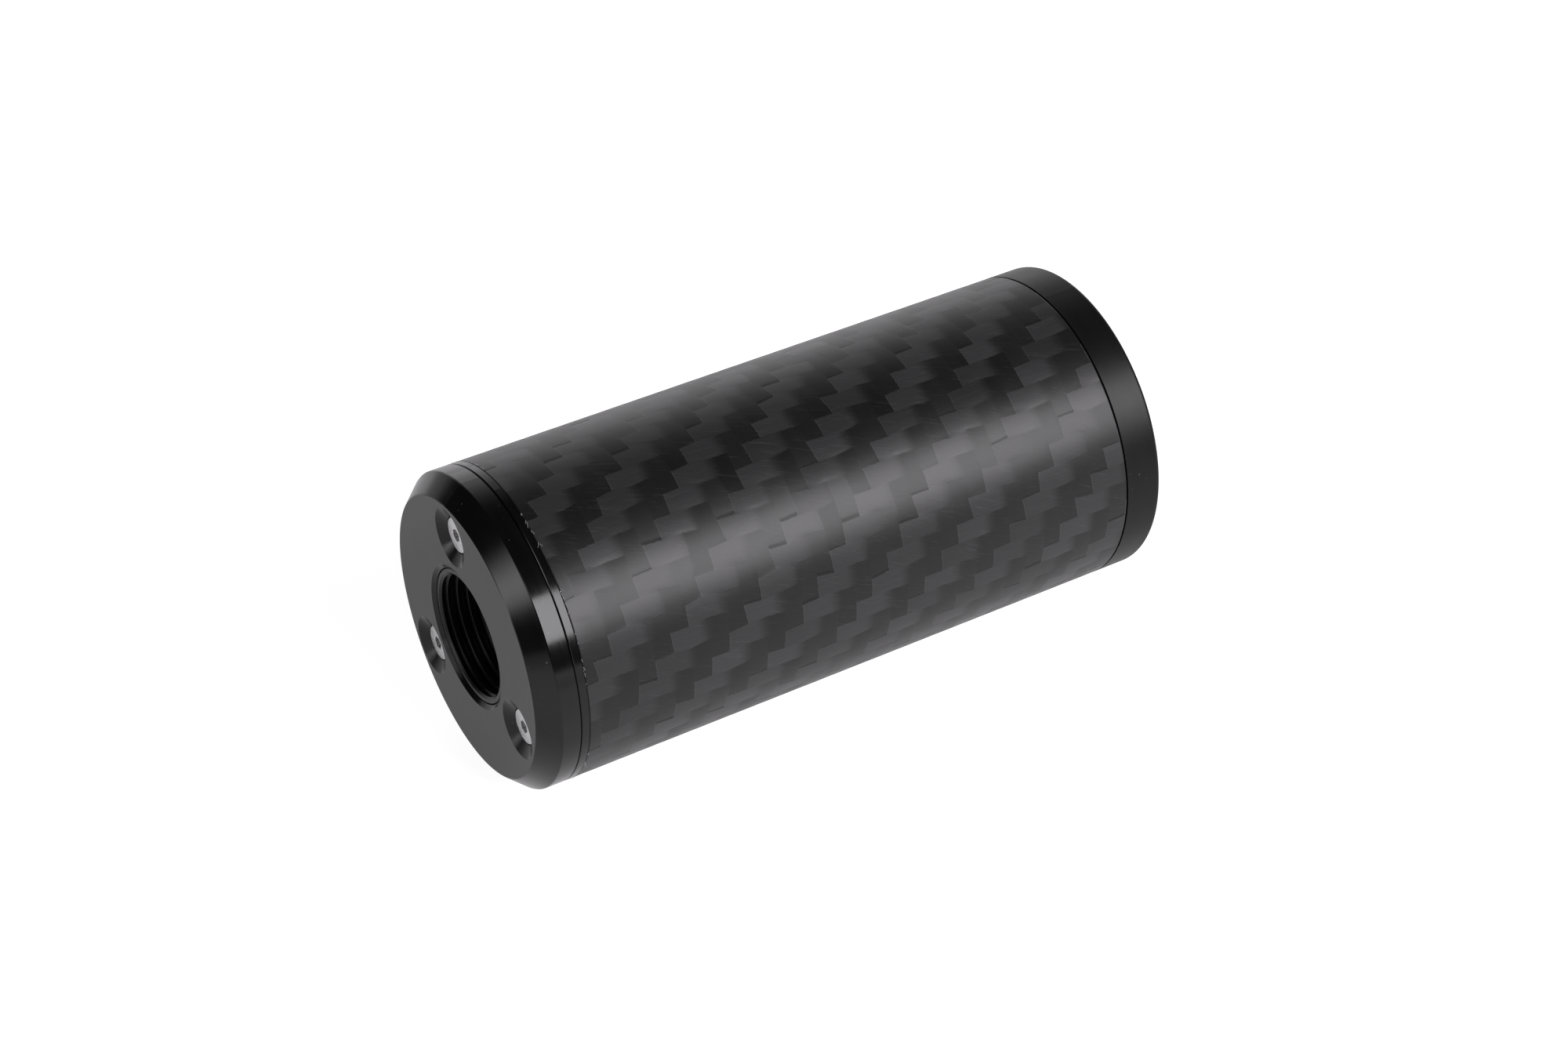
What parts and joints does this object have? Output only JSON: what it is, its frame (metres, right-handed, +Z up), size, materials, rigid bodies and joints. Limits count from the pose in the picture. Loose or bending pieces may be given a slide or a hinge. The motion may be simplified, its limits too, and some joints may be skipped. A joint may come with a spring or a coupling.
{
  "type": "inert dummy suppressor",
  "caption": "Inert display dummy: round carbon-sleeved body, chamfered front cap with recessed screws and a shallow blind ribbed socket, solid core, closed screw-on rear cap.",
  "frame": {"origin": "on the plane the object lies on, under the middle of its axis", "axes": "+X along the object's axis, from the screwed front face to the rear cap; +Z up; the object lies on its side"},
  "size_m": [0.0756, 0.035, 0.035],
  "materials": {
    "front_anodised": "black anodised, semi-gloss, fine turning lines",
    "rear_anodised": "black anodised, satin, fine turning lines",
    "bush_anodised": "black anodised, semi-gloss",
    "carbon_weave": "2x2 twill carbon weave under a satin clear coat",
    "screw_steel": "bright zinc-plated steel",
    "seal_rubber": "matt black rubber",
    "core_plastic": "natural white turned plastic"
  },
  "bodies": {
    "shell": {"front_cap": "front_anodised", "socket_bush": "bush_anodised", "cap_screw_1": "screw_steel", "cap_screw_2": "screw_steel", "cap_screw_3": "screw_steel", "front_o_ring": "seal_rubber", "flanged_tube": "front_anodised", "carbon_sleeve": "carbon_weave", "solid_core": "core_plastic"},
    "rear_seal": {"rear_o_ring": "seal_rubber"},
    "rear_cap": {"rear_cap": "rear_anodised"}
  },
  "joints": [
    {"name": "rear_cap_travel", "type": "slide", "parent": "shell", "child": "rear_seal", "axis": [1, 0, 0], "range_m": [0, 0.0075]},
    {"name": "rear_cap_turn", "type": "hinge", "parent": "rear_seal", "child": "rear_cap", "pos_m": [0.03, 0, 0.0175], "axis": [1, 0, 0], "range_deg": [0, 1800]}
  ],
  "couplings": [
    {"joint": "rear_cap_travel", "follows": "rear_cap_turn", "m_per_rad": 0.00023873}
  ]
}
